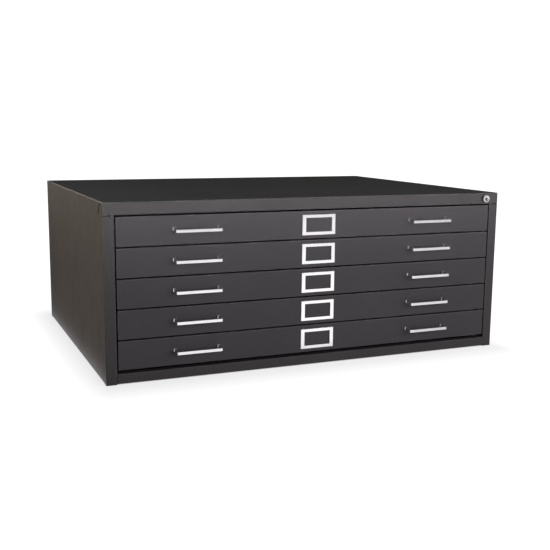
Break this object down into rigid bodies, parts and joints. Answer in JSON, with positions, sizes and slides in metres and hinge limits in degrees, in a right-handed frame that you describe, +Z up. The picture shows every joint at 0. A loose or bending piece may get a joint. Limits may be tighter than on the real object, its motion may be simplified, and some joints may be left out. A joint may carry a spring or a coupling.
{
  "type": "flat file cabinet",
  "caption": "Low steel cabinet for storing large sheets flat, with full-width shallow drawers on roller slides, sheet hold-down flaps and a lock that bars every drawer.",
  "frame": {"origin": "on the floor, midway between the sides and midway between the pulls' front faces and the back of the case", "axes": "+X to the right as seen by someone facing the drawers, +Y to the back, +Z up"},
  "size_m": [1.06, 0.826, 0.419],
  "materials": {
    "case_paint": "black baked enamel, lightly textured, low gloss",
    "drawer_paint": "black baked enamel, lightly textured, low gloss",
    "chrome": "bright nickel-chrome plate",
    "zinc_steel": "zinc-plated steel, satin",
    "nylon": "natural nylon, satin"
  },
  "bodies": {
    "cabinet": {"top_cap": "case_paint", "left_side_panel": "case_paint", "right_side_panel": "case_paint", "back_panel": "case_paint", "base_pan": "case_paint", "left_slide_rack": "zinc_steel", "right_slide_rack": "zinc_steel", "lock_cylinder": "chrome"},
    "drawer_1": {"drawer_1_tray": "drawer_paint", "drawer_1_front": "drawer_paint", "drawer_1_label_holder": "chrome", "drawer_1_left_pull": "chrome", "drawer_1_right_pull": "chrome"},
    "drawer_1_depressor": {"drawer_1_depressor": "drawer_paint"},
    "drawer_1_left_roller": {"drawer_1_left_roller": "nylon"},
    "case_left_roller_1": {"case_left_roller_1": "nylon"},
    "drawer_1_right_roller": {"drawer_1_right_roller": "nylon"},
    "case_right_roller_1": {"case_right_roller_1": "nylon"},
    "drawer_2": {"drawer_2_tray": "drawer_paint", "drawer_2_front": "drawer_paint", "drawer_2_label_holder": "chrome", "drawer_2_left_pull": "chrome", "drawer_2_right_pull": "chrome"},
    "drawer_2_depressor": {"drawer_2_depressor": "drawer_paint"},
    "drawer_2_left_roller": {"drawer_2_left_roller": "nylon"},
    "case_left_roller_2": {"case_left_roller_2": "nylon"},
    "drawer_2_right_roller": {"drawer_2_right_roller": "nylon"},
    "case_right_roller_2": {"case_right_roller_2": "nylon"},
    "drawer_3": {"drawer_3_tray": "drawer_paint", "drawer_3_front": "drawer_paint", "drawer_3_label_holder": "chrome", "drawer_3_left_pull": "chrome", "drawer_3_right_pull": "chrome"},
    "drawer_3_depressor": {"drawer_3_depressor": "drawer_paint"},
    "drawer_3_left_roller": {"drawer_3_left_roller": "nylon"},
    "case_left_roller_3": {"case_left_roller_3": "nylon"},
    "drawer_3_right_roller": {"drawer_3_right_roller": "nylon"},
    "case_right_roller_3": {"case_right_roller_3": "nylon"},
    "drawer_4": {"drawer_4_tray": "drawer_paint", "drawer_4_front": "drawer_paint", "drawer_4_label_holder": "chrome", "drawer_4_left_pull": "chrome", "drawer_4_right_pull": "chrome"},
    "drawer_4_depressor": {"drawer_4_depressor": "drawer_paint"},
    "drawer_4_left_roller": {"drawer_4_left_roller": "nylon"},
    "case_left_roller_4": {"case_left_roller_4": "nylon"},
    "drawer_4_right_roller": {"drawer_4_right_roller": "nylon"},
    "case_right_roller_4": {"case_right_roller_4": "nylon"},
    "drawer_5": {"drawer_5_tray": "drawer_paint", "drawer_5_front": "drawer_paint", "drawer_5_label_holder": "chrome", "drawer_5_left_pull": "chrome", "drawer_5_right_pull": "chrome"},
    "drawer_5_depressor": {"drawer_5_depressor": "drawer_paint"},
    "drawer_5_left_roller": {"drawer_5_left_roller": "nylon"},
    "case_left_roller_5": {"case_left_roller_5": "nylon"},
    "drawer_5_right_roller": {"drawer_5_right_roller": "nylon"},
    "case_right_roller_5": {"case_right_roller_5": "nylon"},
    "lock_plug": {"lock_plug": "chrome"},
    "lock_bar": {"lock_bar": "zinc_steel"}
  },
  "joints": [
    {"name": "drawer_1_slide", "type": "slide", "parent": "cabinet", "child": "drawer_1", "axis": [0, -1, 0], "range_m": [0, 0.58]},
    {"name": "drawer_1_depressor_hinge", "type": "hinge", "parent": "drawer_1", "child": "drawer_1_depressor", "pos_m": [0, -0.363, 0.364], "axis": [1, 0, 0], "range_deg": [0, 26]},
    {"name": "drawer_1_left_roller_spin", "type": "hinge", "parent": "drawer_1", "child": "drawer_1_left_roller", "pos_m": [-0.4962, 0.346, 0.3435], "axis": [1, 0, 0], "continuous": true},
    {"name": "case_left_roller_1_spin", "type": "hinge", "parent": "cabinet", "child": "case_left_roller_1", "pos_m": [-0.4962, -0.339, 0.3627], "axis": [1, 0, 0], "continuous": true},
    {"name": "drawer_1_right_roller_spin", "type": "hinge", "parent": "drawer_1", "child": "drawer_1_right_roller", "pos_m": [0.4962, 0.346, 0.3435], "axis": [1, 0, 0], "continuous": true},
    {"name": "case_right_roller_1_spin", "type": "hinge", "parent": "cabinet", "child": "case_right_roller_1", "pos_m": [0.4962, -0.339, 0.3627], "axis": [1, 0, 0], "continuous": true},
    {"name": "drawer_2_slide", "type": "slide", "parent": "cabinet", "child": "drawer_2", "axis": [0, -1, 0], "range_m": [0, 0.58]},
    {"name": "drawer_2_depressor_hinge", "type": "hinge", "parent": "drawer_2", "child": "drawer_2_depressor", "pos_m": [0, -0.363, 0.2928], "axis": [1, 0, 0], "range_deg": [0, 26]},
    {"name": "drawer_2_left_roller_spin", "type": "hinge", "parent": "drawer_2", "child": "drawer_2_left_roller", "pos_m": [-0.4962, 0.346, 0.2723], "axis": [1, 0, 0], "continuous": true},
    {"name": "case_left_roller_2_spin", "type": "hinge", "parent": "cabinet", "child": "case_left_roller_2", "pos_m": [-0.4962, -0.339, 0.2915], "axis": [1, 0, 0], "continuous": true},
    {"name": "drawer_2_right_roller_spin", "type": "hinge", "parent": "drawer_2", "child": "drawer_2_right_roller", "pos_m": [0.4962, 0.346, 0.2723], "axis": [1, 0, 0], "continuous": true},
    {"name": "case_right_roller_2_spin", "type": "hinge", "parent": "cabinet", "child": "case_right_roller_2", "pos_m": [0.4962, -0.339, 0.2915], "axis": [1, 0, 0], "continuous": true},
    {"name": "drawer_3_slide", "type": "slide", "parent": "cabinet", "child": "drawer_3", "axis": [0, -1, 0], "range_m": [0, 0.58]},
    {"name": "drawer_3_depressor_hinge", "type": "hinge", "parent": "drawer_3", "child": "drawer_3_depressor", "pos_m": [0, -0.363, 0.2216], "axis": [1, 0, 0], "range_deg": [0, 26]},
    {"name": "drawer_3_left_roller_spin", "type": "hinge", "parent": "drawer_3", "child": "drawer_3_left_roller", "pos_m": [-0.4962, 0.346, 0.2011], "axis": [1, 0, 0], "continuous": true},
    {"name": "case_left_roller_3_spin", "type": "hinge", "parent": "cabinet", "child": "case_left_roller_3", "pos_m": [-0.4962, -0.339, 0.2203], "axis": [1, 0, 0], "continuous": true},
    {"name": "drawer_3_right_roller_spin", "type": "hinge", "parent": "drawer_3", "child": "drawer_3_right_roller", "pos_m": [0.4962, 0.346, 0.2011], "axis": [1, 0, 0], "continuous": true},
    {"name": "case_right_roller_3_spin", "type": "hinge", "parent": "cabinet", "child": "case_right_roller_3", "pos_m": [0.4962, -0.339, 0.2203], "axis": [1, 0, 0], "continuous": true},
    {"name": "drawer_4_slide", "type": "slide", "parent": "cabinet", "child": "drawer_4", "axis": [0, -1, 0], "range_m": [0, 0.58]},
    {"name": "drawer_4_depressor_hinge", "type": "hinge", "parent": "drawer_4", "child": "drawer_4_depressor", "pos_m": [0, -0.363, 0.1504], "axis": [1, 0, 0], "range_deg": [0, 26]},
    {"name": "drawer_4_left_roller_spin", "type": "hinge", "parent": "drawer_4", "child": "drawer_4_left_roller", "pos_m": [-0.4962, 0.346, 0.1299], "axis": [1, 0, 0], "continuous": true},
    {"name": "case_left_roller_4_spin", "type": "hinge", "parent": "cabinet", "child": "case_left_roller_4", "pos_m": [-0.4962, -0.339, 0.1491], "axis": [1, 0, 0], "continuous": true},
    {"name": "drawer_4_right_roller_spin", "type": "hinge", "parent": "drawer_4", "child": "drawer_4_right_roller", "pos_m": [0.4962, 0.346, 0.1299], "axis": [1, 0, 0], "continuous": true},
    {"name": "case_right_roller_4_spin", "type": "hinge", "parent": "cabinet", "child": "case_right_roller_4", "pos_m": [0.4962, -0.339, 0.1491], "axis": [1, 0, 0], "continuous": true},
    {"name": "drawer_5_slide", "type": "slide", "parent": "cabinet", "child": "drawer_5", "axis": [0, -1, 0], "range_m": [0, 0.58]},
    {"name": "drawer_5_depressor_hinge", "type": "hinge", "parent": "drawer_5", "child": "drawer_5_depressor", "pos_m": [0, -0.363, 0.0792], "axis": [1, 0, 0], "range_deg": [0, 26]},
    {"name": "drawer_5_left_roller_spin", "type": "hinge", "parent": "drawer_5", "child": "drawer_5_left_roller", "pos_m": [-0.4962, 0.346, 0.0587], "axis": [1, 0, 0], "continuous": true},
    {"name": "case_left_roller_5_spin", "type": "hinge", "parent": "cabinet", "child": "case_left_roller_5", "pos_m": [-0.4962, -0.339, 0.0779], "axis": [1, 0, 0], "continuous": true},
    {"name": "drawer_5_right_roller_spin", "type": "hinge", "parent": "drawer_5", "child": "drawer_5_right_roller", "pos_m": [0.4962, 0.346, 0.0587], "axis": [1, 0, 0], "continuous": true},
    {"name": "case_right_roller_5_spin", "type": "hinge", "parent": "cabinet", "child": "case_right_roller_5", "pos_m": [0.4962, -0.339, 0.0779], "axis": [1, 0, 0], "continuous": true},
    {"name": "lock_bar_lift", "type": "slide", "parent": "cabinet", "child": "lock_bar", "axis": [0, 0, 1], "range_m": [0, 0.00956]},
    {"name": "lock_turn", "type": "hinge", "parent": "cabinet", "child": "lock_plug", "pos_m": [0.489, -0.387, 0.404], "axis": [0, -1, 0], "range_deg": [0, 90]}
  ],
  "couplings": [
    {"joint": "drawer_1_left_roller_spin", "follows": "drawer_1_slide", "rad_per_m": 100},
    {"joint": "case_left_roller_1_spin", "follows": "drawer_1_slide", "rad_per_m": 100},
    {"joint": "drawer_1_right_roller_spin", "follows": "drawer_1_slide", "rad_per_m": 100},
    {"joint": "case_right_roller_1_spin", "follows": "drawer_1_slide", "rad_per_m": 100},
    {"joint": "drawer_2_left_roller_spin", "follows": "drawer_2_slide", "rad_per_m": 100},
    {"joint": "case_left_roller_2_spin", "follows": "drawer_2_slide", "rad_per_m": 100},
    {"joint": "drawer_2_right_roller_spin", "follows": "drawer_2_slide", "rad_per_m": 100},
    {"joint": "case_right_roller_2_spin", "follows": "drawer_2_slide", "rad_per_m": 100},
    {"joint": "drawer_3_left_roller_spin", "follows": "drawer_3_slide", "rad_per_m": 100},
    {"joint": "case_left_roller_3_spin", "follows": "drawer_3_slide", "rad_per_m": 100},
    {"joint": "drawer_3_right_roller_spin", "follows": "drawer_3_slide", "rad_per_m": 100},
    {"joint": "case_right_roller_3_spin", "follows": "drawer_3_slide", "rad_per_m": 100},
    {"joint": "drawer_4_left_roller_spin", "follows": "drawer_4_slide", "rad_per_m": 100},
    {"joint": "case_left_roller_4_spin", "follows": "drawer_4_slide", "rad_per_m": 100},
    {"joint": "drawer_4_right_roller_spin", "follows": "drawer_4_slide", "rad_per_m": 100},
    {"joint": "case_right_roller_4_spin", "follows": "drawer_4_slide", "rad_per_m": 100},
    {"joint": "drawer_5_left_roller_spin", "follows": "drawer_5_slide", "rad_per_m": 100},
    {"joint": "case_left_roller_5_spin", "follows": "drawer_5_slide", "rad_per_m": 100},
    {"joint": "drawer_5_right_roller_spin", "follows": "drawer_5_slide", "rad_per_m": 100},
    {"joint": "case_right_roller_5_spin", "follows": "drawer_5_slide", "rad_per_m": 100},
    {"joint": "lock_turn", "follows": "lock_bar_lift", "rad_per_m": 164.3}
  ]
}
